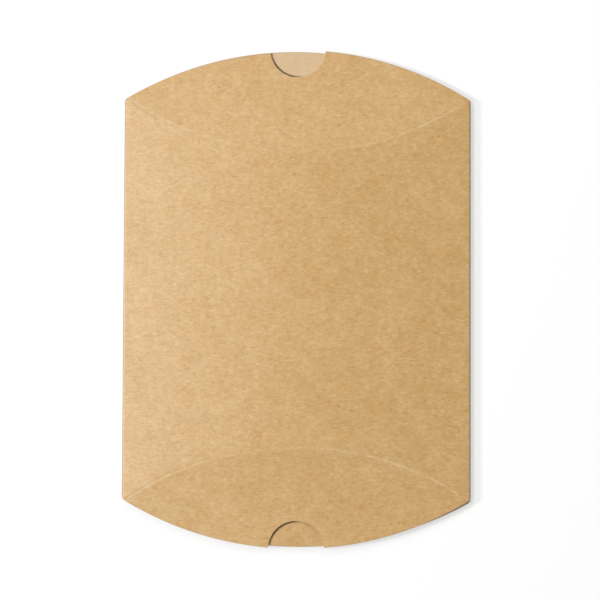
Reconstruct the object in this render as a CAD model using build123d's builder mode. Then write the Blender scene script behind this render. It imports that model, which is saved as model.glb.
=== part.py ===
# Pillow box of creased kraft board, lying flat as it is packed and slightly sprung open.
# X runs across the box from fold to fold, Y along it from end to end, and Z up from the table.
# The origin is on the table under the middle of the box. Lengths are in mm and angles in degrees.
# The board bends along its whole width. Each panel and flap is cut here into three flat strips,
# hinged along the straight lines that the bent board follows.
import os
from math import asin, cos, degrees, radians, sin

from build123d import *

os.makedirs("parts", exist_ok=True)

# The cut sheet
box_width = 140.0
corner_length = 162.0
end_rise = 20.0
crease_rise = 21.4
inner_flap_trim = 0.6
board = 0.45
notch_radius = 11.2
notch_margin = 1.8

# How far the packed box stands open
rest_half_depth = 3.0
flap_dip = 3.4

# The glued seam inside the right side fold
lap_width = 15.0
lap_end_margin = 5.0
lap_taper = 8.0
lap_setback = 0.3
glue_line_width = 10.0
glue_line_end_margin = 2.0
glue_thickness = 0.1
seam_clearance = 0.1

# Working gaps
hinge_gap = 0.06
crease_gap = 0.3
fold_opening = 26.0

# The inner faces at a side fold leave room for the glue, the lap and a clearance
fold_inner = (glue_thickness + board + seam_clearance) / 2
fold_outer = fold_inner + board
fold_x = box_width / 2 - fold_outer
centre_half = notch_radius + notch_margin
side_length = fold_x - centre_half

# Outline of the sheet, seen flat: each end has a crease arc and an outer arc through the same corners
corner_y = corner_length / 2
crease_y = corner_y - crease_rise
crease_radius = (fold_x**2 + crease_rise**2) / (2 * crease_rise)

# Heights of the packed box
panel_slope = degrees(asin((rest_half_depth - fold_inner) / side_length))
mid_height = board + side_length * sin(radians(panel_slope)) + fold_inner * cos(radians(panel_slope))
box_height = 2 * mid_height

# Each flap's side strips bring its corner tips to the height of the side folds
tip_drop = rest_half_depth - fold_inner - crease_rise * sin(radians(flap_dip))
flap_side_slope = degrees(asin(tip_drop / side_length))

hands = {"left": -1, "right": 1}
ends = {"top": 1, "bottom": -1}


def side_face(face, hand, fall):
    """Plane of a side strip that falls away from a centre strip's face, in the sheet's coordinates."""
    across = face.x_dir * cos(radians(fall)) - face.z_dir * (hand * sin(radians(fall)))
    up = face.z_dir * cos(radians(fall)) + face.x_dir * (hand * sin(radians(fall)))
    hinge = face.origin + face.x_dir * (hand * centre_half)
    return Plane(origin=hinge - across * (hand * centre_half), x_dir=across, z_dir=up)


def flap_face(height, end, fall):
    """Plane of a flap's centre strip that falls outwards from its crease, in the sheet's coordinates."""
    along = Vector(0, cos(radians(fall)), -end * sin(radians(fall)))
    up = Vector(0, end * sin(radians(fall)), cos(radians(fall)))
    crease = Vector(0, end * crease_y, height)
    return Plane(origin=crease - along * (end * crease_y), x_dir=Vector(1, 0, 0), z_dir=up)


def strip_span(hand):
    """Middle and width of a strip across the sheet: the centre strip for hand 0, or one side strip."""
    if hand == 0:
        return 0, 2 * centre_half - hinge_gap
    return hand * (centre_half + hinge_gap / 2 + fold_x) / 2, side_length - hinge_gap / 2


def panel_strip(face, hand, thickness):
    """One strip of a panel, between the crease arcs of its two ends."""
    middle, span = strip_span(hand)
    with BuildPart() as strip:
        with BuildSketch(face):
            with Locations((middle, 0)):
                Rectangle(span, corner_length)
            with Locations((0, crease_y + crease_radius), (0, -crease_y - crease_radius)):
                Circle(crease_radius + crease_gap / 2, mode=Mode.SUBTRACT)
        extrude(amount=thickness)
    return strip


def side_fold(face, hand, thickness):
    """The rounded edge of the board at a side fold, turned towards the other panel."""
    towards = -1 if thickness > 0 else 1
    fold_axis = face.origin + face.x_dir * (hand * fold_x) + face.z_dir * (towards * fold_inner)
    section = Plane(origin=fold_axis, x_dir=face.x_dir * hand, z_dir=face.y_dir * (-hand * towards))
    with BuildPart() as fold:
        with BuildSketch(section):
            with BuildLine():
                outer = CenterArc((0, 0), fold_outer, -90, 90 - fold_opening)
                inner = CenterArc((0, 0), fold_inner, -90, 90 - fold_opening)
                Line(outer @ 0, inner @ 0)
                Line(outer @ 1, inner @ 1)
            make_face()
        extrude(amount=corner_y - fold_outer, both=True)
    return fold


def flap_strip(face, hand, end, thickness, outer_rise, notched):
    """One strip of a flap, between its crease arc and its outer arc."""
    middle, span = strip_span(hand)
    outer_radius = (fold_x**2 + outer_rise**2) / (2 * outer_rise)
    outer_y = corner_y + outer_rise
    with BuildPart() as strip:
        with BuildSketch(face):
            with Locations((middle, end * (crease_y + outer_y) / 2)):
                Rectangle(span, outer_y - crease_y)
            with Locations((0, end * (crease_y + crease_radius))):
                Circle(crease_radius - crease_gap / 2, mode=Mode.INTERSECT)
            with Locations((0, end * (outer_y - outer_radius))):
                Circle(outer_radius, mode=Mode.INTERSECT)
            if notched:
                with Locations((0, end * outer_y)):
                    Circle(notch_radius, mode=Mode.SUBTRACT)
        extrude(amount=thickness)
    return strip


def write_step(piece, name):
    piece.part.label = name
    export_step(piece.part, "parts/" + name + ".step")


# Inner face of each panel's centre strip, and the way that the board's thickness lies from it
panels = {
    "back": (Plane(origin=(0, 0, board), x_dir=(1, 0, 0), z_dir=(0, 0, 1)), -1),
    "front": (Plane(origin=(0, 0, box_height - board), x_dir=(1, 0, 0), z_dir=(0, 0, 1)), 1),
}
side_faces = {}
for panel, (face, outward) in panels.items():
    write_step(panel_strip(face, 0, outward * board), panel + "_panel_centre")
    for side, hand in hands.items():
        side_faces[panel, side] = side_face(face, hand, outward * panel_slope)
        strip = panel_strip(side_faces[panel, side], hand, outward * board)
        fold = side_fold(side_faces[panel, side], hand, outward * board)
        with BuildPart() as side_panel:
            add(strip.part)
            add(fold.part)
        write_step(side_panel, panel + "_panel_" + side)

# Outer flaps are the front panel's ends, with a thumb notch. They turn about their outer face,
# and their side strips about the inner one.
for end_name, end in ends.items():
    outer_face = flap_face(box_height, end, flap_dip)
    centre = flap_strip(outer_face, 0, end, -board, end_rise, True)
    write_step(centre, end_name + "_outer_flap_centre")
    for side, hand in hands.items():
        face = side_face(outer_face.offset(-board), hand, flap_side_slope)
        write_step(flap_strip(face, hand, end, board, end_rise, False), end_name + "_outer_flap_" + side)

# Inner flaps are the back panel's ends, plain and a little shorter. They turn about their inner face,
# and their side strips about the outer one.
for end_name, end in ends.items():
    inner_face = flap_face(board, end, -flap_dip)
    inner_rise = end_rise - inner_flap_trim
    centre = flap_strip(inner_face, 0, end, -board, inner_rise, False)
    write_step(centre, end_name + "_inner_flap_centre")
    for side, hand in hands.items():
        face = side_face(inner_face.offset(-board), hand, -flap_side_slope)
        write_step(flap_strip(face, hand, end, board, inner_rise, False), end_name + "_inner_flap_" + side)

# Glue lap and its glue line, on the inner face of the back panel beside the right side fold
lap_outer_x = fold_x - lap_setback
lap_inner_x = fold_x - lap_width
lap_outer_y = corner_y - lap_end_margin
lap_inner_y = lap_outer_y - lap_taper
lap_face = side_faces["back", "right"].offset(glue_thickness)
with BuildPart() as glue_lap:
    with BuildSketch(lap_face):
        with BuildLine():
            Polyline(
                (lap_outer_x, -lap_outer_y),
                (lap_outer_x, lap_outer_y),
                (lap_inner_x, lap_inner_y),
                (lap_inner_x, -lap_inner_y),
                close=True,
            )
        make_face()
    extrude(amount=board)
write_step(glue_lap, "glue_lap")

with BuildPart() as glue_line:
    with BuildSketch(side_faces["back", "right"]):
        with Locations(((lap_outer_x + lap_inner_x) / 2, 0)):
            Rectangle(glue_line_width, 2 * (lap_inner_y - glue_line_end_margin))
    extrude(amount=glue_thickness)
write_step(glue_line, "glue_line")
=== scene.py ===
"""Pillow box of creased kraft board, lying flat on a pale floor and slightly sprung open.

The board is one sheet. Every panel and flap is made here as a left and a right half that meet in
the middle, each reaching from the middle of the sheet to its side fold.
"""

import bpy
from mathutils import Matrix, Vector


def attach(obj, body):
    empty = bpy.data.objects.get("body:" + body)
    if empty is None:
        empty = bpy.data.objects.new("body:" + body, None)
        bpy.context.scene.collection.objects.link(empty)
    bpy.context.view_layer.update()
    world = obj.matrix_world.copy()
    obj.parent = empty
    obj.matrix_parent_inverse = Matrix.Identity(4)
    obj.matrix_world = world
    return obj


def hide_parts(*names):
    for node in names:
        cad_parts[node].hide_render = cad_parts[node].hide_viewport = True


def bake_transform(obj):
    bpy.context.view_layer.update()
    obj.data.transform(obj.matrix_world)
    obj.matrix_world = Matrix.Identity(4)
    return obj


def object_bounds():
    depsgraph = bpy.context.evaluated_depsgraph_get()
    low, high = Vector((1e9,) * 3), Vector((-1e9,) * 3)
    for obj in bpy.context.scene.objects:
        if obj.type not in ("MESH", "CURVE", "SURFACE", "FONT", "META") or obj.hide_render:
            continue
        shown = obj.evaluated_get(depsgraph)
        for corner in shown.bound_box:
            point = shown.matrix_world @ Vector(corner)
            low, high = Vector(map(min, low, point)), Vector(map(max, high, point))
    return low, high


bl_info = {
    "name": "Kraft pillow box",
    "version": (1, 0, 0),
    "blender": (4, 5, 0),
    "location": "View3D > Sidebar > Pillow Box",
    "description": "Builds the panels, flaps, glued seam and stage of a flat-packed pillow box",
    "category": "Object",
}

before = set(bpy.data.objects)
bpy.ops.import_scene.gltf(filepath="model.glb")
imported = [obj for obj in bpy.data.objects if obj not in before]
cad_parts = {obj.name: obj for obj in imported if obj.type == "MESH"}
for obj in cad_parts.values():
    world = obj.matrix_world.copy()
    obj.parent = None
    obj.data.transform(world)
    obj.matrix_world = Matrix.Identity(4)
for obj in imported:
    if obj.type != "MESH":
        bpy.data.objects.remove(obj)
cad_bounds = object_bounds()

import math

import bmesh
import bpy
import numpy as np
from bpy.props import FloatProperty, FloatVectorProperty, PointerProperty
from mathutils import Matrix, Vector

MM = 0.001
WHITE = (1.0, 1.0, 1.0, 1.0)
HANDS = {"left": -1, "right": 1}
ENDS = {"top": 1, "bottom": -1}

# Columns and rows of the grids of points
ACROSS_HALF = 57
ACROSS_STRIP = 13
ALONG_PANEL = 61
ALONG_FLAP = 33
ALONG_FOLD = 41
ROUND_FOLD = 9
ROUND_BEAD = 17
ROUND_NOTCH = 25
BESIDE_NOTCH = 46

# Power by which rows crowd towards an end
CROWDING = 1.8

# Faces that meet at more than this angle keep a sharp edge
SHARP_ANGLE = math.radians(35)

# Distance to the nearest cut edge that stands for none
NO_EDGE = 0.1

# At a side fold: degrees by which a panel's rounded edge stops short of the middle plane, share of
# that rounding by which the panel's ends fall back, and length over which the pressed line fades
FOLD_OPENING = 27
CORNER_CUT = 0.9
SCORE_FADE = 2 * MM

# Bead over a side fold: room under it, thickness at its sides, what the middle adds, degrees by
# which it reaches past the panels' edges, and length over which it thins at its ends
BEAD_ROOM = 0.008 * MM
BEAD_RIM = 0.004 * MM
BEAD_SKIN = 0.03 * MM
BEAD_LAP = 3
BEAD_TAPER = 0.6 * MM

# Tip of a flap: room to the side fold, and power of the share of the width by which the outer edge
# comes to the fold's height
TIP_ROOM = 0.05 * MM
TIP_POWER = 6

# Share of a notch's radius at which its arc ends beside the outer arc
NOTCH_MEET = 0.9993

# How much nearer to the middle the bottom end's notch is cut than the sheet's plan
NOTCH_SHIFT = {1: 0.0, -1: 0.7 * MM}

# How much lower some outer arcs are cut than the sheet's plan
CUT_SHORT = {
    ("top", "outer", "left"): 0.9 * MM,
    ("bottom", "outer", "left"): 0.7 * MM,
    ("bottom", "outer", "right"): 0.7 * MM,
    ("top", "inner", "left"): -0.3 * MM,
    ("top", "inner", "right"): -0.3 * MM,
    ("bottom", "inner", "left"): 1.3 * MM,
    ("bottom", "inner", "right"): 1.3 * MM,
}

# Glue lap: room to the side fold, margin at its ends, and length of its slanted ends. Glue line:
# width, and margin to the lap's short side.
LAP_ROOM = 0.3 * MM
LAP_MARGIN = 5 * MM
LAP_TAPER = 8 * MM
GLUE_WIDTH = 10 * MM
GLUE_MARGIN = 2 * MM

# Noise patterns: factors of the place, scale, detail and roughness
BOARD_NOISE = {
    "clouds": ((1, 1, 0), 38, 2.0, 0.50),
    "patches": ((1, 1, 0), 150, 2.0, 0.50),
    "mottle": ((0.8, 1.1, 0), 430, 2.0, 0.50),
    "fibres": ((0.45, 1, 0), 1150, 2.0, 0.55),
    "grain": ((1, 1, 0), 1700, 2.0, 0.60),
    "strand_field": ((0.6, 1, 0), 300, 1.0, 0.50),
    "strand_places": ((1, 1, 0), 620, 1.0, 0.50),
    "rubs": ((1, 1, 0), 230, 2.0, 0.60),
    "pale_flecks": ((0.6, 1, 0), 560, 1.0, 0.50),
    "dark_flecks": ((1, 0.75, 0), 520, 1.0, 0.50),
    "hue": ((1, 1, 0), 135, 2.0, 0.55),
}
GLUE_NOISE = ((1, 0.2, 0), 300, 3.0, 0.60)
NOISE_MIDDLE = 0.5

# Values of those patterns at which a mark is nothing and whole
NOISE_RAMP = {
    "strand_places": (0.55, 0.66),
    "rubs": (0.46, 0.62),
    "pale_flecks": (0.70, 0.78),
    "dark_flecks": (0.29, 0.22),
    "hue": (0.30, 0.70),
}
GLUE_RAMP = (0.3, 0.7)
STRAND_WIDTH = 0.014

# How much each pattern moves the board's tone, and how far the tone spreads its colour
TONE_WEIGHT = {"clouds": 0.12, "patches": 0.16, "mottle": 0.24, "fibres": 0.34, "grain": 0.30}
TONE_CONTRAST = 2.6

# Factors of the board's colour, for two hues, where its tone is darkest and palest
DARKEST = ((0.82, 0.67, 0.33), (0.80, 0.70, 0.42))
PALEST = ((1.20, 1.32, 1.62), (1.18, 1.35, 1.72))

# Places across the sheet at which a mark is nothing and whole
TO_CORNER = (28 * MM, 60 * MM)
TO_RIGHT = (-8 * MM, 12 * MM)
NOTCH_LEFT = (3 * MM, -1.5 * MM)
NOTCH_FAR_LEFT = (-12.5 * MM, -9 * MM)
NOTCH_RIGHT = (0.5 * MM, 5 * MM)
BY_NOTCH = (12 * MM, 10 * MM)

# The same across the sheet, measured outwards from the side fold
CREASE_END = (-1 * MM, -9 * MM)
FOLD_RUB = (-0.4 * MM, 0.5 * MM)

# The same along the sheet
BOTTOM_CREASE = (0.0, -10 * MM)
BOTTOM_END = (0.0, -1 * MM)
INNER_SHADE = (-60 * MM, 60 * MM)

# The same as distance from the nearest cut edge, and as depth in the board
AT_EDGE = (0.55 * MM, 0.15 * MM)
INNER_FACE = (0.90, 1.0)
RIM_FROM_OUTER = (0.05, 0.20)
RIM_FROM_INNER = (0.95, 0.80)

# Pale line on a crease: half its width, its strength everywhere and on the right of the bottom
# crease, and what rub marks add everywhere, towards the corners and on that right
CREASE_WIDTH = 0.42 * MM
CREASE_EVEN = 0.05
CREASE_EVEN_RIGHT = 0.11
CREASE_RUBBED = 0.12
CREASE_RUBBED_CORNER = 0.34
CREASE_RUBBED_RIGHT = 0.18

# Painted shadow inside a notch's left edge, where the outer flap's edge shades the inner flap:
# its distance from the edge, half its width, what it gains round its thickest place, where that
# is, and how far the gain reaches
MARK_INSET = 0.40 * MM
MARK_WIDTH = 0.30 * MM
MARK_SWELL = 0.16 * MM
MARK_SWELL_X = -7 * MM
MARK_SWELL_REACH = 6 * MM

# Painted shade inside the bottom notch's right edge: its distance from the edge, half its width
# and its strength, and the strength of the painted shade on the whole inner face at the bottom end
PAINTED_SHADE_INSET = 1.1 * MM
PAINTED_SHADE_WIDTH = 0.8 * MM
PAINTED_SHADE_PATCH = 0.16
PAINTED_SHADE_FACE = 0.07

# How much of the board's colour a mark covers where it is whole
COVER = {
    "strands": 0.30,
    "pale_flecks": 0.40,
    "dark_flecks": 0.35,
    "fold": 0.45,
    "inner_face": 0.50,
    # Painted shadow inside the notches' left edges
    "notch_painted_shadow": 0.94,
    "edge": 0.40,
    "rim": 0.90,
}

# Share of the crushed edge line that a thumb notch's edge is spared on the outer face
NOTCH_SPARED = 0.8

# Gloss and relief of the board
BOARD_ROUGHNESS = 0.37
CREASE_ROUGHNESS = 0.2
BOARD_SPECULAR = 0.80
BOARD_RELIEF = {"fibres": 0.5, "grain": 0.4, "tone": 1.2, "strands": 0.4}
BOARD_BUMP = {"Strength": 0.14, "Distance": 0.05 * MM}

# Gloss, relief and thin places of the glue
GLUE_ROUGHNESS = 0.3
STREAK_ROUGHNESS = 0.2
GLUE_BUMP = {"Strength": 0.3, "Distance": 0.04 * MM}
THIN_GLUE = 0.7

# Stage: half the floor's side, how much whiter the camera sees the floor, and the world's light
FLOOR_REACH = 8.0
FLOOR_GLOW = 0.57
WORLD_STRENGTH = 0.12

# Name, place, target, size and power of each lamp
LAMPS = (
    ("key_lamp", (-1.95, 0.05, 1.65), (0, 0, 0), (0.38, 0.50), 32.5),
    ("strip_lamp", (-0.50, 0.15, 1.20), (0, 0.15, 0), (1.6, 0.20), 9.8),
    ("window_lamp", (0.15, 1.05, 1.15), (0, 0, 0), (1.2, 0.8), 5.2),
)

# Camera: width of the picture and place of its middle in pixels, and width of the sensor
PICTURE_WIDTH = 600
PICTURE_MIDDLE = (3.0, -1.0)
SENSOR_WIDTH = 36.0
CLIP_START = 0.01


def frame_size(axis):
    """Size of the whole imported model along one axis, in metres."""
    low, high = cad_bounds
    return high[axis] - low[axis]


class PillowBoxSizes(bpy.types.PropertyGroup):
    """Sizes of the cut and creased sheet, in metres."""

    width: FloatProperty(
        name="Width", description="Distance over the side folds", default=0.140, unit="LENGTH")
    height: FloatProperty(
        name="Height", description="Height of the packed box", default=frame_size(2),
        unit="LENGTH")
    corner_length: FloatProperty(
        name="Corner length", description="Length of a side fold", default=0.162, unit="LENGTH")
    end_rise: FloatProperty(
        name="End rise", description="Outer edge of a flap beyond the corners",
        default=0.020, unit="LENGTH")
    crease_rise: FloatProperty(
        name="Crease rise", description="Crease of a flap inside the corners",
        default=0.0214, unit="LENGTH")
    inner_trim: FloatProperty(
        name="Inner flap trim", description="How much shorter the inner flaps are",
        default=0.0006, unit="LENGTH")
    board: FloatProperty(
        name="Board", description="Thickness of the board", default=0.00045, unit="LENGTH")
    notch_radius: FloatProperty(
        name="Notch radius", description="Radius of a thumb notch", default=0.0112, unit="LENGTH")
    seam_room: FloatProperty(
        name="Seam room", description="Room between the inner faces at a side fold",
        default=0.00065, unit="LENGTH")
    arch_bend: FloatProperty(
        name="Arch bend", description="Distance from the middle where the arch turns straight",
        default=0.030, unit="LENGTH")
    flap_gap: FloatProperty(
        name="Flap gap", description="Room between the edges of the two flaps of an end",
        default=0.00028, unit="LENGTH")
    flap_curl: FloatProperty(
        name="Flap curl",
        description="1 for flat flaps, more for flaps that flatten towards their edge",
        default=1.8)
    score_depth: FloatProperty(
        name="Score depth", description="Depth of the pressed crease line",
        default=0.00009, unit="LENGTH")
    score_width: FloatProperty(
        name="Score width", description="Half width of the pressed crease line",
        default=0.0006, unit="LENGTH")
    skew: FloatProperty(
        name="Skew",
        description="How far the back layer lies towards the bottom end at the glued fold",
        default=0.0009, unit="LENGTH")
    lap_width: FloatProperty(
        name="Lap width", description="Width of the glue lap", default=0.015, unit="LENGTH")
    glue: FloatProperty(
        name="Glue", description="Thickness of the glue line", default=0.0001, unit="LENGTH")


class PillowBoxFinish(bpy.types.PropertyGroup):
    """Colours of the board and the glue, as linear light."""

    board_colour: FloatVectorProperty(
        name="Board", description="Colour of the kraft board", subtype="COLOR",
        default=(0.632, 0.386, 0.149), min=0, max=1)
    pale_fibre: FloatVectorProperty(
        name="Pale fibre", description="Colour of the pale flecks and the crease lines",
        subtype="COLOR", default=(0.80, 0.62, 0.38), min=0, max=1)
    # Also painted shade: this colour darkens the inner flap inside the bottom notch and over the
    # bottom end
    dark_fibre_and_painted_shade: FloatVectorProperty(
        name="Dark fibre", description="Colour of the dark flecks and the worn inner flap",
        subtype="COLOR", default=(0.30, 0.165, 0.065), min=0, max=1)
    cut_edge: FloatVectorProperty(
        name="Cut edge", description="Colour of the cut edges of the board", subtype="COLOR",
        default=(0.76, 0.58, 0.36), min=0, max=1)
    crushed: FloatVectorProperty(
        name="Crushed", description="Colour of the faces beside a cut and of the side folds",
        subtype="COLOR", default=(0.40, 0.31, 0.20), min=0, max=1)
    # Paler inner board and painted light: this colour pales the inner face from nothing at the
    # bottom end to most at the top end
    rub_and_painted_light: FloatVectorProperty(
        name="Paling and painted light", description="Colour that pales the inner face towards the top end",
        subtype="COLOR", default=(0.72, 0.56, 0.38), min=0, max=1)
    # Painted shadow: the colour of the shadow painted inside each notch's left edge on the inner
    # flap
    notch_painted_shadow: FloatVectorProperty(
        name="Notch mark", description="Colour where a notch's edge has rubbed on the inner flap",
        subtype="COLOR", default=(0.085, 0.034, 0.005), min=0, max=1)
    glue_colour: FloatVectorProperty(
        name="Glue", description="Colour of the dried glue", subtype="COLOR",
        default=(0.62, 0.50, 0.32), min=0, max=1)


class PillowBoxStage(bpy.types.PropertyGroup):
    """The camera's place and the floor's colour."""

    camera_distance: FloatProperty(
        name="Camera distance", description="Distance from the box", default=0.80, unit="LENGTH")
    camera_lean: FloatProperty(
        name="Camera lean", description="Lean from straight above, towards the bottom end",
        default=math.radians(2.5), subtype="ANGLE")
    camera_roll: FloatProperty(
        name="Camera roll", description="Turn of the picture", default=math.radians(0.23),
        subtype="ANGLE")
    millimetres_per_pixel: FloatProperty(
        name="Scale", description="Millimetres that one pixel of the picture covers",
        default=0.4033)
    floor_colour: FloatVectorProperty(
        name="Floor", description="Colour of the floor", subtype="COLOR",
        default=(0.45, 0.45, 0.45), min=0, max=1)


# Shader arithmetic


class Wire:
    """A shader value. Arithmetic on it adds Math nodes to its tree."""

    def __init__(self, tree, socket):
        self.tree = tree
        self.socket = socket

    def maths(self, operation, *items, clamp=False):
        """A Math node of wires and numbers."""
        node = self.tree.nodes.new("ShaderNodeMath")
        node.operation = operation
        node.use_clamp = clamp
        for place, item in zip(node.inputs, items):
            if isinstance(item, Wire):
                self.tree.links.new(item.socket, place)
            else:
                place.default_value = item
        return Wire(self.tree, node.outputs[0])

    def __add__(self, other):
        return self.maths("ADD", self, other)

    __radd__ = __add__

    def __sub__(self, other):
        return self.maths("SUBTRACT", self, other)

    def __rsub__(self, other):
        return self.maths("SUBTRACT", other, self)

    def __mul__(self, other):
        return self.maths("MULTIPLY", self, other)

    __rmul__ = __mul__

    def __truediv__(self, other):
        return self.maths("DIVIDE", self, other)

    def __rtruediv__(self, other):
        return self.maths("DIVIDE", other, self)

    def __abs__(self):
        return self.maths("ABSOLUTE", self)

    def root(self):
        return self.maths("SQRT", self)

    def most(self, other):
        return self.maths("MAXIMUM", self, other)

    def clamped(self):
        """The value, kept between 0 and 1."""
        return self.maths("ADD", self, 0.0, clamp=True)

    def bell(self, width):
        """1 where the value is 0, falling away over the width like a bell curve."""
        share = self / width
        return self.maths("EXPONENT", share * share * -1.0)

    def band(self, nothing, whole):
        """0 at the first value, 1 at the second, and a straight ramp between. It may run down."""
        return ((self - nothing) / (whole - nothing)).clamped()


class Recipe:
    """One material and the helpers that add its nodes."""

    def __init__(self, name):
        self.material = bpy.data.materials.new(name)
        self.material.use_nodes = True
        self.tree = self.material.node_tree
        self.tree.nodes.clear()

    def node(self, kind, settings=None, numbered=None, **named):
        """A node of a type, with its settings first and then the values or links of its sockets:
        numbered ones by their place among the inputs, and the others by name."""
        made = self.tree.nodes.new(kind)
        for key, value in (settings or {}).items():
            setattr(made, key, value)
        for key, value in (numbered or {}).items():
            self.join(value, made.inputs[key])
        for key, value in named.items():
            self.join(value, made.inputs[key.replace("_", " ")])
        return made

    def join(self, value, place):
        if isinstance(value, Wire):
            self.tree.links.new(value.socket, place)
        elif isinstance(value, bpy.types.NodeSocket):
            self.tree.links.new(value, place)
        else:
            place.default_value = value

    def wire(self, socket):
        return Wire(self.tree, socket)

    def mix(self, share, first, second):
        """Colour mix: the first colour where the share is 0 and the second where it is 1."""
        made = self.node("ShaderNodeMix", {"data_type": "RGBA"}, {0: share, 6: first, 7: second})
        return made.outputs[2]

    def noise(self, place, factors, scale, detail, roughness):
        """Noise at the place times three factors, which stretches it where a factor is small."""
        stretched = self.node(
            "ShaderNodeVectorMath", {"operation": "MULTIPLY"}, {0: place, 1: factors})
        made = self.node("ShaderNodeTexNoise", Vector=stretched.outputs[0], Scale=scale,
                         Detail=detail, Roughness=roughness)
        return self.wire(made.outputs["Fac"])

    def attribute(self, name, output):
        return self.node("ShaderNodeAttribute", {"attribute_name": name}).outputs[output]

    def finish(self, shader):
        self.node("ShaderNodeOutputMaterial", Surface=shader.outputs[0])
        return self.material


def with_alpha(colour):
    return (*colour, 1.0)


def sheet_outline(sizes):
    """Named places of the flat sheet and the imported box, worked out from their sizes."""
    fold_outer = sizes.seam_room / 2 + sizes.board
    fold_x = sizes.width / 2 - fold_outer
    corner_y = sizes.corner_length / 2
    return {
        "fold_outer": fold_outer,
        "fold_inner": sizes.seam_room / 2,
        "fold_x": fold_x,
        "corner_y": corner_y,
        "crease_y": corner_y - sizes.crease_rise,
        "crease_radius": (fold_x**2 + sizes.crease_rise**2) / (2 * sizes.crease_rise),
        "mid": sizes.height / 2,
        "bow": sizes.height / 2 - fold_outer,
    }


def from_circle(across, along, radius):
    """Distance outwards from a circle, where across and along lead to its centre."""
    return (across * across + along * along).root() - radius


def pale_crease(x, y, rubs, outline):
    """Strength of the pale line on the creases: a bell of the distance from a crease's circle,
    with rub marks that grow towards the corners and on the right of the bottom crease. It
    fades out before the side folds."""
    along = abs(y) - (outline["crease_y"] + outline["crease_radius"])
    line = from_circle(x, along, outline["crease_radius"]).bell(CREASE_WIDTH)
    corner = abs(x).band(*TO_CORNER)
    right = x.band(*TO_RIGHT) * y.band(*BOTTOM_CREASE)
    rub_and_painted_light = rubs * (corner * CREASE_RUBBED_CORNER + right * CREASE_RUBBED_RIGHT + CREASE_RUBBED)
    strength = rub_and_painted_light + right * CREASE_EVEN_RIGHT + CREASE_EVEN
    return line * strength * (abs(x) - outline["fold_x"]).band(*CREASE_END)


def notch_painted_shade(x, y, sizes, outline):
    """Strengths of the painted shadow that a notch's left edge casts on the inner flap under it,
    and of the painted shade inside the bottom notch's right edge, to which an even painted shade
    over the
    bottom end is added: bells of the distance from the notch's circle as the skewed flap meets it."""
    bottom = y.band(*BOTTOM_END)
    laid_y = y - (x + outline["fold_x"]) * (sizes.skew / (2 * outline["fold_x"]))
    along = abs(laid_y) - (outline["corner_y"] + sizes.end_rise) + bottom * NOTCH_SHIFT[-1]
    from_notch = from_circle(x, along, sizes.notch_radius)
    width = (x - MARK_SWELL_X).bell(MARK_SWELL_REACH) * MARK_SWELL + MARK_WIDTH
    left = x.band(*NOTCH_LEFT) * x.band(*NOTCH_FAR_LEFT)
    mark = (from_notch + MARK_INSET).bell(width) * left
    patch = (from_notch + PAINTED_SHADE_INSET).bell(PAINTED_SHADE_WIDTH) * x.band(*NOTCH_RIGHT) * bottom
    return mark, patch * PAINTED_SHADE_PATCH + bottom * PAINTED_SHADE_FACE


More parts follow.
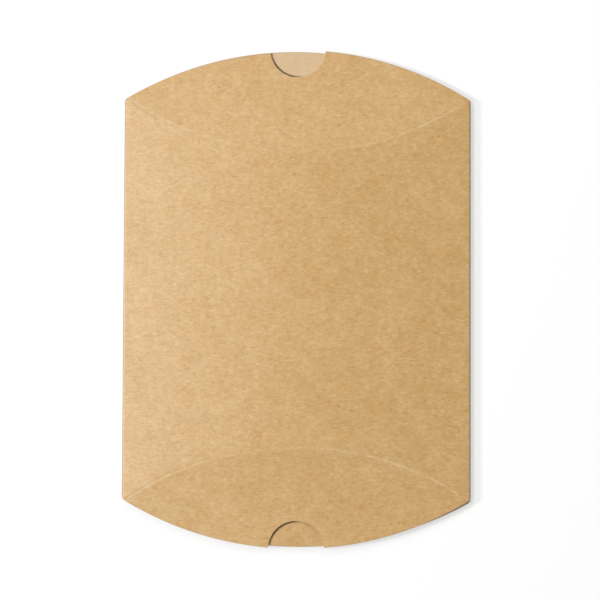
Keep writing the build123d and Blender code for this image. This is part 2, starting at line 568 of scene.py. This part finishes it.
def kraft_material(sizes, finish):
    """Kraft board: soft clouds, short fibres and flecks, pale crease lines, side folds and faces
    beside a cut a little crushed, pale cut edges, an inner face paled towards the top end, partly a
    paler inner board and partly painted light, and on the inner flaps a painted shadow inside each
    thumb notch's left edge and painted shade at the bottom notch and over the bottom end.

    Every pattern reads the sheet_place attribute, which is the place on the flat sheet in metres
    and the depth in the board from 0 at the outer face to 1 at the inner one. The to_edge
    attribute is the distance to the nearest cut edge.
    """
    outline = sheet_outline(sizes)
    recipe = Recipe("kraft_board_finish")
    place = recipe.attribute("sheet_place", "Vector")
    parts = recipe.node("ShaderNodeSeparateXYZ", Vector=place)
    x, y, depth = (recipe.wire(output) for output in parts.outputs)
    to_edge = recipe.wire(recipe.attribute("to_edge", "Fac"))

    noise = {name: recipe.noise(place, *settings) for name, settings in BOARD_NOISE.items()}
    ramp = {name: noise[name].band(*ends) for name, ends in NOISE_RAMP.items()}
    tone = sum((noise[name] - NOISE_MIDDLE) * weight for name, weight in TONE_WEIGHT.items())
    strands = (noise["strand_field"] - NOISE_MIDDLE).bell(STRAND_WIDTH) * ramp["strand_places"]

    crease = pale_crease(x, y, ramp["rubs"], outline)
    # Painted shadow and painted shade of the notches on the inner flap
    mark, painted_shade = notch_painted_shade(x, y, sizes, outline)
    inside = depth.band(*INNER_FACE)
    fold_rub = (abs(x) - outline["fold_x"]).band(*FOLD_RUB)
    by_notch = abs(x).band(*BY_NOTCH) * (1.0 - inside)
    crushed_edge = to_edge.band(*AT_EDGE) * (1.0 - by_notch * NOTCH_SPARED)
    rim = depth.band(*RIM_FROM_OUTER) * depth.band(*RIM_FROM_INNER)

    def hued(factors):
        ends = [[min(1.0, c * k) for c, k in zip(finish.board_colour, end)] for end in factors]
        return recipe.mix(ramp["hue"], *map(with_alpha, ends))

    layers = (
        (strands * COVER["strands"], finish.dark_fibre_and_painted_shade),
        (ramp["pale_flecks"] * COVER["pale_flecks"], finish.pale_fibre),
        (ramp["dark_flecks"] * COVER["dark_flecks"], finish.dark_fibre_and_painted_shade),
        (crease, finish.pale_fibre),
        (fold_rub * COVER["fold"], finish.crushed),
        # Paler inner board and painted light: the inner face pales from nothing at the bottom end
        # to most at the top end
        (inside * y.band(*INNER_SHADE) * COVER["inner_face"], finish.rub_and_painted_light),
        # Painted shade on the inner flap inside the bottom notch's right edge and over the bottom
        # end
        (inside * painted_shade, finish.dark_fibre_and_painted_shade),
        # Painted shadow on the inner flap inside each notch's left edge
        (inside * mark * COVER["notch_painted_shadow"], finish.notch_painted_shadow),
        (crushed_edge * COVER["edge"], finish.crushed),
        (rim * COVER["rim"], finish.cut_edge),
    )
    colour = recipe.mix((tone * TONE_CONTRAST + 0.5).clamped(), hued(DARKEST), hued(PALEST))
    for share, tint in layers:
        colour = recipe.mix(share, colour, with_alpha(tint))

    fields = {**noise, "tone": tone, "strands": strands}
    relief = sum(fields[name] * weight for name, weight in BOARD_RELIEF.items())
    bump = recipe.node("ShaderNodeBump", Height=relief, **BOARD_BUMP)
    return recipe.finish(recipe.node(
        "ShaderNodeBsdfPrincipled", Base_Color=colour, Normal=bump.outputs["Normal"],
        Roughness=crease * CREASE_ROUGHNESS + BOARD_ROUGHNESS, Specular_IOR_Level=BOARD_SPECULAR))


def glue_material(finish):
    """Dried glue: cloudy, slightly glossy and a little darker where it is thin."""
    recipe = Recipe("dried_glue")
    streaks = recipe.noise(recipe.attribute("sheet_place", "Vector"), *GLUE_NOISE)
    thin = [c * THIN_GLUE for c in finish.glue_colour]
    colour = recipe.mix(
        streaks.band(*GLUE_RAMP), with_alpha(thin), with_alpha(finish.glue_colour))
    bump = recipe.node("ShaderNodeBump", Height=streaks, **GLUE_BUMP)
    return recipe.finish(recipe.node(
        "ShaderNodeBsdfPrincipled", Base_Color=colour, Normal=bump.outputs["Normal"],
        Roughness=streaks * STREAK_ROUGHNESS + GLUE_ROUGHNESS))


# Board surfaces


def even(count):
    return np.linspace(0.0, 1.0, count)


def crowded(count):
    """Shares from -1 to 1 that crowd towards both ends."""
    s = even(count)
    return 2 * s**CROWDING / (s**CROWDING + (1 - s) ** CROWDING) - 1


def crowded_start(count):
    """Shares from 0 to 1 that crowd towards 0."""
    return even(count) ** CROWDING


def crease_arc(x, sizes):
    """How far along the sheet the crease lies at x: a circle through the corners, nearest to the
    middle at x = 0."""
    outline = sheet_outline(sizes)
    radius = outline["crease_radius"]
    return outline["crease_y"] + radius - np.sqrt(radius**2 - x**2)


def end_arc(x, sizes, rise):
    """How far along the sheet a flap's outer edge lies at x: a circle through the corners,
    farthest from the middle at x = 0."""
    outline = sheet_outline(sizes)
    radius = (outline["fold_x"] ** 2 + rise**2) / (2 * rise)
    return outline["corner_y"] + rise - radius + np.sqrt(radius**2 - x**2)


def arch_height(x, sizes):
    """Height of a panel's outer face above the box's middle plane at x: a hyperbola, which is
    round in the middle and runs straight down to the side fold."""
    outline = sheet_outline(sizes)
    fall = np.sqrt(1 + (x / sizes.arch_bend) ** 2) - 1
    full = math.sqrt(1 + (outline["fold_x"] / sizes.arch_bend) ** 2) - 1
    return outline["fold_outer"] + outline["bow"] * (1 - fall / full)


def score_at(distance, sizes):
    """Depth of the pressed line at a distance from its crease: a bell curve."""
    return sizes.score_depth * np.exp(-((distance / sizes.score_width) ** 2))


def skewed(points, sizes):
    """The back layer's points, moved along the sheet in step with their distance from the left
    fold: the box was glued a little out of register."""
    fold_x = sheet_outline(sizes)["fold_x"]
    points[:, :, 1] -= sizes.skew * (points[:, :, 0] + fold_x) / (2 * fold_x)
    return points


def depth_place(points, depth):
    """Place on the flat sheet and depth in the board for a grid of points."""
    place = points.copy()
    place[:, :, 2] = depth
    return place


def shell_mesh(name, outer, inner, outer_place, inner_place, to_edge=None):
    """Closed shell between two grids of points, with its four rims, as a mesh.

    outer and inner are arrays of shape (columns, rows, 3). The places go to the sheet_place
    attribute, and the distance to the nearest cut edge, in metres, to the to_edge attribute.
    """
    columns, rows = outer.shape[:2]
    count = columns * rows
    points = np.concatenate([outer.reshape(-1, 3), inner.reshape(-1, 3)])
    places = np.concatenate([outer_place.reshape(-1, 3), inner_place.reshape(-1, 3)])
    index = np.arange(count).reshape(columns, rows)
    corners = [index[:-1, :-1], index[1:, :-1], index[1:, 1:], index[:-1, 1:]]
    top = np.stack([c.ravel() for c in corners], axis=1)
    under = top[:, ::-1] + count
    loop = np.concatenate([index[:-1, 0], index[-1, :-1], index[:0:-1, -1], index[0, :0:-1]])
    ahead = np.roll(loop, -1)
    rim = np.stack([ahead, loop, loop + count, ahead + count], axis=1)
    faces = np.concatenate([top, under, rim])
    mesh = bpy.data.meshes.new(name)
    mesh.from_pydata(points.tolist(), [], faces.tolist())
    attribute = mesh.attributes.new("sheet_place", "FLOAT_VECTOR", "POINT")
    attribute.data.foreach_set("vector", places.astype(np.float32).ravel())
    distance = np.full(outer.shape[:2], NO_EDGE) if to_edge is None else to_edge
    attribute = mesh.attributes.new("to_edge", "FLOAT", "POINT")
    attribute.data.foreach_set("value", np.tile(distance.ravel(), 2).astype(np.float32))
    work = bmesh.new()
    work.from_mesh(mesh)
    bmesh.ops.recalc_face_normals(work, faces=work.faces)
    work.to_mesh(mesh)
    work.free()
    mesh.shade_smooth()
    mesh.set_sharp_from_angle(angle=SHARP_ANGLE)
    return mesh


def add_piece(name, mesh, material):
    piece = bpy.data.objects.new(name, mesh)
    bpy.context.scene.collection.objects.link(piece)
    mesh.materials.append(material)
    return piece


def bend_with(piece):
    """Bakes the piece's place into its mesh."""
    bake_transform(piece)


def board_half(name, outer, inner, sizes, up, material, to_edge=None):
    """Half of a panel or flap from the grids of its two faces. The back layer keeps its places on
    the flat sheet when it is skewed."""
    places = depth_place(outer, 0.0), depth_place(inner, 1.0)
    if up < 0:
        outer, inner = skewed(outer, sizes), skewed(inner, sizes)
    mesh = shell_mesh(name, outer, inner, *places, to_edge)
    return add_piece(name, mesh, material)


def panel_half(name, sizes, hand, up, material):
    """Half of a panel: across the sheet it follows the arch, and its edge turns part of a quarter
    circle at the side fold. Along the sheet it runs between its two crease arcs."""
    outline = sheet_outline(sizes)
    fold_x = outline["fold_x"]
    x = even(ACROSS_HALF) * fold_x
    turn = even(ROUND_FOLD)[1:] * math.radians(90 - FOLD_OPENING)
    around = np.stack([np.sin(turn), np.cos(turn)], axis=1)
    arch = np.stack([x, arch_height(x, sizes)], axis=1)
    outer_profile = np.concatenate([arch, around * outline["fold_outer"] + [fold_x, 0]])
    inner_profile = np.concatenate(
        [arch - [0, sizes.board], around * outline["fold_inner"] + [fold_x, 0]])
    past_fold = outer_profile[:, :1] - fold_x
    reach = crease_arc(np.minimum(outer_profile[:, :1], fold_x), sizes)
    reach -= np.maximum(past_fold, 0) * CORNER_CUT
    share = crowded(ALONG_PANEL)[None, :]
    y = reach * share
    score = np.clip(-past_fold / SCORE_FADE, 0, 1) * score_at(reach * (1 - np.abs(share)), sizes)

    def grid(profile):
        across = np.broadcast_to(profile[:, :1] * hand, y.shape)
        lift = (profile[:, 1:] - score) * up + outline["mid"]
        return np.stack([across, y, lift], axis=2)

    return board_half(name, grid(outer_profile), grid(inner_profile), sizes, up, material)


def flap_half(name, sizes, hand, end, up, rise, notched, material):
    """Half of a flap, between its crease arc and its outer arc.

    Its height runs from the arch's at the crease down to the flap gap at the outer arc, as one
    minus a power of the share of the way that is left, so it flattens towards the edge. A notched
    flap's edge follows the thumb notch's circle up to where that meets the outer arc.
    """
    outline = sheet_outline(sizes)
    fold_x = outline["fold_x"]
    last = fold_x - TIP_ROOM
    x = even(ACROSS_HALF)[:, None] * last
    if notched:
        swing = even(ROUND_NOTCH)[:, None] * math.asin(NOTCH_MEET)
        meet = sizes.notch_radius * NOTCH_MEET
        beside = meet + (last - meet) * even(BESIDE_NOTCH)[1:, None]
        x = np.concatenate([sizes.notch_radius * np.sin(swing), beside])
    start = crease_arc(x, sizes)
    whole_edge = end_arc(x, sizes, rise)
    edge = whole_edge.copy()
    if notched:
        notch_tip = outline["corner_y"] + sizes.end_rise - NOTCH_SHIFT[end]
        notch_edge = notch_tip - sizes.notch_radius * np.cos(swing)
        edge[:ROUND_NOTCH] = np.minimum(notch_edge, edge[:ROUND_NOTCH])
    y = start + (edge - start) * crowded_start(ALONG_FLAP)[None, :]
    way_left = np.clip(1 - (y - start) / (whole_edge - start), 0, 1)
    crease_lift = arch_height(x, sizes)
    flat_edge = sizes.board + sizes.flap_gap / 2
    edge_lift = flat_edge + (outline["fold_outer"] - flat_edge) * (x / fold_x) ** TIP_POWER
    drop = (crease_lift - edge_lift) * (1 - way_left**sizes.flap_curl)
    lift = crease_lift - drop - score_at(y - start, sizes)
    across = np.broadcast_to(x * hand, y.shape)

    def grid(thickness):
        return np.stack([across, y * end, (lift - thickness) * up + outline["mid"]], axis=2)

    return board_half(name, grid(0.0), grid(sizes.board), sizes, up, material, edge - y)


def fold_bead(name, sizes, hand, material):
    """The rounded ridge of a side fold: an arc a little outside the panels' edges, thinning
    towards both of its sides and to nothing at its ends, carried along the fold."""
    outline = sheet_outline(sizes)
    reach = math.radians(FOLD_OPENING + BEAD_LAP)
    angle = (even(ROUND_BEAD)[:, None] * 2 - 1) * reach
    bulge = BEAD_SKIN * np.cos(angle / reach * math.pi / 2) ** 2
    half = outline["corner_y"] - outline["fold_outer"]
    y = crowded(ALONG_FOLD)[None, :] * half
    taper = np.clip((half - np.abs(y)) / BEAD_TAPER, 0, 1)

    def grid(thickness):
        size = outline["fold_outer"] + BEAD_ROOM + thickness * taper
        across = (outline["fold_x"] + size * np.cos(angle)) * hand
        lift = outline["mid"] + size * np.sin(angle)
        return np.stack([across, np.broadcast_to(y, lift.shape), lift], axis=2)

    outer, inner = grid(BEAD_RIM + bulge), grid(0.0)
    mesh = shell_mesh(name, outer, inner, depth_place(outer, 0.0), depth_place(inner, 1.0))
    return add_piece(name, mesh, material)


def seam_strip(name, sizes, span, ends_y, low, thickness, material):
    """A strip on the inner face of the back panel beside the right fold, low above that face.

    span is its nearest and farthest distance from the middle, and ends_y its half length there.
    """
    outline = sheet_outline(sizes)
    x = np.linspace(*span, ACROSS_STRIP)[:, None]
    y = np.linspace(*ends_y, ACROSS_STRIP)[:, None] * crowded(ALONG_FOLD)[None, :]
    face = outline["mid"] - arch_height(x, sizes) + sizes.board

    def grid(height):
        return np.stack([np.broadcast_to(line, y.shape) for line in (x, y, face + height)], axis=2)

    outer, inner = skewed(grid(low), sizes), skewed(grid(low + thickness), sizes)
    mesh = shell_mesh(name, outer, inner, depth_place(outer, 0.0), depth_place(inner, 1.0))
    piece = add_piece(name, mesh, material)
    bend_with(piece)
    return piece


def board_finish(context):
    """The kraft board material, made once."""
    found = bpy.data.materials.get("kraft_board_finish")
    return found or kraft_material(context.scene.pillow_sizes, context.scene.pillow_finish)


class PILLOW_OT_panels(bpy.types.Operator):
    """Make the front and back panels, each as two halves that meet in the middle"""

    bl_idname = "pillow_box.panels"
    bl_label = "Panels"

    def execute(self, context):
        sizes = context.scene.pillow_sizes
        material = board_finish(context)
        for panel, up in (("front", 1), ("back", -1)):
            for side, hand in HANDS.items():
                piece = panel_half(f"{panel}_panel_{side}_half", sizes, hand, up, material)
                bend_with(piece)
                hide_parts(f"{panel}_panel_{side}", panel + "_panel_centre")
        for side, hand in HANDS.items():
            bead = fold_bead(f"{side}_fold_bead", sizes, hand, material)
            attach(bead, "back_" + side)
        return {"FINISHED"}


class PILLOW_OT_flaps(bpy.types.Operator):
    """Make the notched outer flaps and the plain inner flaps at both ends"""

    bl_idname = "pillow_box.flaps"
    bl_label = "Flaps"

    def execute(self, context):
        sizes = context.scene.pillow_sizes
        material = board_finish(context)
        for layer, up, notched in (("outer", 1, True), ("inner", -1, False)):
            trim = 0.0 if notched else sizes.inner_trim
            for end_name, end in ENDS.items():
                stem = f"{end_name}_{layer}"
                for side, hand in HANDS.items():
                    name = f"{stem}_flap_{side}_half"
                    rise = sizes.end_rise - trim - CUT_SHORT.get((end_name, layer, side), 0.0)
                    piece = flap_half(name, sizes, hand, end, up, rise, notched, material)
                    bend_with(piece)
                    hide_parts(f"{stem}_flap_{side}", stem + "_flap_centre")
        return {"FINISHED"}


class PILLOW_OT_seam(bpy.types.Operator):
    """Make the glue lap inside the right side fold and the glue line that holds it"""

    bl_idname = "pillow_box.seam"
    bl_label = "Glued seam"

    def execute(self, context):
        sizes = context.scene.pillow_sizes
        outline = sheet_outline(sizes)
        span = (outline["fold_x"] - sizes.lap_width, outline["fold_x"] - LAP_ROOM)
        long_half = outline["corner_y"] - LAP_MARGIN
        short_half = long_half - LAP_TAPER
        lap = seam_strip("glue_lap_board", sizes, span, (short_half, long_half), sizes.glue,
                         sizes.board, board_finish(context))
        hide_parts("glue_lap")
        middle = sum(span) / 2
        span = (middle - GLUE_WIDTH / 2, middle + GLUE_WIDTH / 2)
        glue_half = short_half - GLUE_MARGIN
        glue = seam_strip("glue_line_film", sizes, span, (glue_half, glue_half), 0.0,
                          sizes.glue, glue_material(context.scene.pillow_finish))
        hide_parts("glue_line")
        return {"FINISHED"}


# Stage


def floor_material(stage):
    """Pale matt floor. Rays from the camera, off gloss or through glass see it a little whiter."""
    recipe = Recipe("pale_floor")
    paths = recipe.node("ShaderNodeLightPath")
    camera, gloss, glass = (
        recipe.wire(paths.outputs[f"Is {ray} Ray"]) for ray in ("Camera", "Glossy", "Transmission"))
    seen = camera.most(gloss).most(glass)
    matt = recipe.node("ShaderNodeBsdfDiffuse", Color=with_alpha(stage.floor_colour))
    glow = recipe.node("ShaderNodeEmission", Color=WHITE, Strength=seen * FLOOR_GLOW)
    return recipe.finish(recipe.node(
        "ShaderNodeAddShader", numbered={0: matt.outputs[0], 1: glow.outputs[0]}))


def soft_lamp(name, place, target, size, power):
    lamp = bpy.data.lights.new(name, "AREA")
    lamp.shape = "RECTANGLE"
    lamp.size, lamp.size_y = size
    lamp.energy = power
    item = bpy.data.objects.new(name, lamp)
    bpy.context.scene.collection.objects.link(item)
    item.location = place
    aim = Vector(target) - Vector(place)
    item.rotation_euler = aim.to_track_quat("-Z", "Y").to_euler()


def overhead_camera(stage, height):
    """Camera above a point at half the box's height, leaning towards the bottom end. Its lens
    lets the picture take in the scale's millimetres per pixel at that point."""
    data = bpy.data.cameras.new("camera")
    camera = bpy.data.objects.new("camera", data)
    bpy.context.scene.collection.objects.link(camera)
    pixel = stage.millimetres_per_pixel * MM
    middle = Vector((PICTURE_MIDDLE[0] * pixel, PICTURE_MIDDLE[1] * pixel, height / 2))
    lean = stage.camera_lean
    place = middle + stage.camera_distance * Vector((0, -math.sin(lean), math.cos(lean)))
    turn = Matrix.Rotation(lean, 4, "X") @ Matrix.Rotation(stage.camera_roll, 4, "Z")
    camera.matrix_world = Matrix.Translation(place) @ turn
    data.sensor_width = SENSOR_WIDTH
    data.lens = SENSOR_WIDTH * stage.camera_distance / (PICTURE_WIDTH * pixel)
    data.clip_start = CLIP_START
    return camera


class PILLOW_OT_stage(bpy.types.Operator):
    """Make the pale floor, the lamps and the camera that looks down at the box"""

    bl_idname = "pillow_box.stage"
    bl_label = "Stage"

    def execute(self, context):
        scene = context.scene
        far = FLOOR_REACH
        mesh = bpy.data.meshes.new("floor")
        corners = [(-far, -far, 0), (far, -far, 0), (far, far, 0), (-far, far, 0)]
        mesh.from_pydata(corners, [], [(0, 1, 2, 3)])
        mesh.materials.append(floor_material(scene.pillow_stage))
        floor = bpy.data.objects.new("floor", mesh)
        scene.collection.objects.link(floor)

        world = bpy.data.worlds.new("studio")
        world.use_nodes = True
        background = world.node_tree.nodes["Background"]
        background.inputs["Color"].default_value = WHITE
        background.inputs["Strength"].default_value = WORLD_STRENGTH
        scene.world = world
        for lamp in LAMPS:
            soft_lamp(*lamp)

        scene.camera = overhead_camera(scene.pillow_stage, scene.pillow_sizes.height)
        scene.view_settings.view_transform = "Standard"
        return {"FINISHED"}


class PILLOW_PT_sidebar(bpy.types.Panel):
    """Lists the steps that build the box"""

    bl_idname = "PILLOW_PT_sidebar"
    bl_label = "Pillow Box"
    bl_space_type = "VIEW_3D"
    bl_region_type = "UI"
    bl_category = "Pillow Box"

    def draw(self, context):
        for step in STEPS:
            self.layout.operator(step.bl_idname)


GROUPS = {
    "pillow_sizes": PillowBoxSizes,
    "pillow_finish": PillowBoxFinish,
    "pillow_stage": PillowBoxStage,
}
STEPS = (PILLOW_OT_stage, PILLOW_OT_panels, PILLOW_OT_flaps, PILLOW_OT_seam)
CLASSES = (*GROUPS.values(), *STEPS, PILLOW_PT_sidebar)


def register():
    for item in CLASSES:
        bpy.utils.register_class(item)
    for name, group in GROUPS.items():
        setattr(bpy.types.Scene, name, PointerProperty(type=group))


def unregister():
    for name in GROUPS:
        delattr(bpy.types.Scene, name)
    for item in reversed(CLASSES):
        bpy.utils.unregister_class(item)


def main():
    register()
    bpy.ops.pillow_box.stage()
    bpy.ops.pillow_box.panels()
    bpy.ops.pillow_box.flaps()
    bpy.ops.pillow_box.seam()


if __name__ == "__main__":
    main()
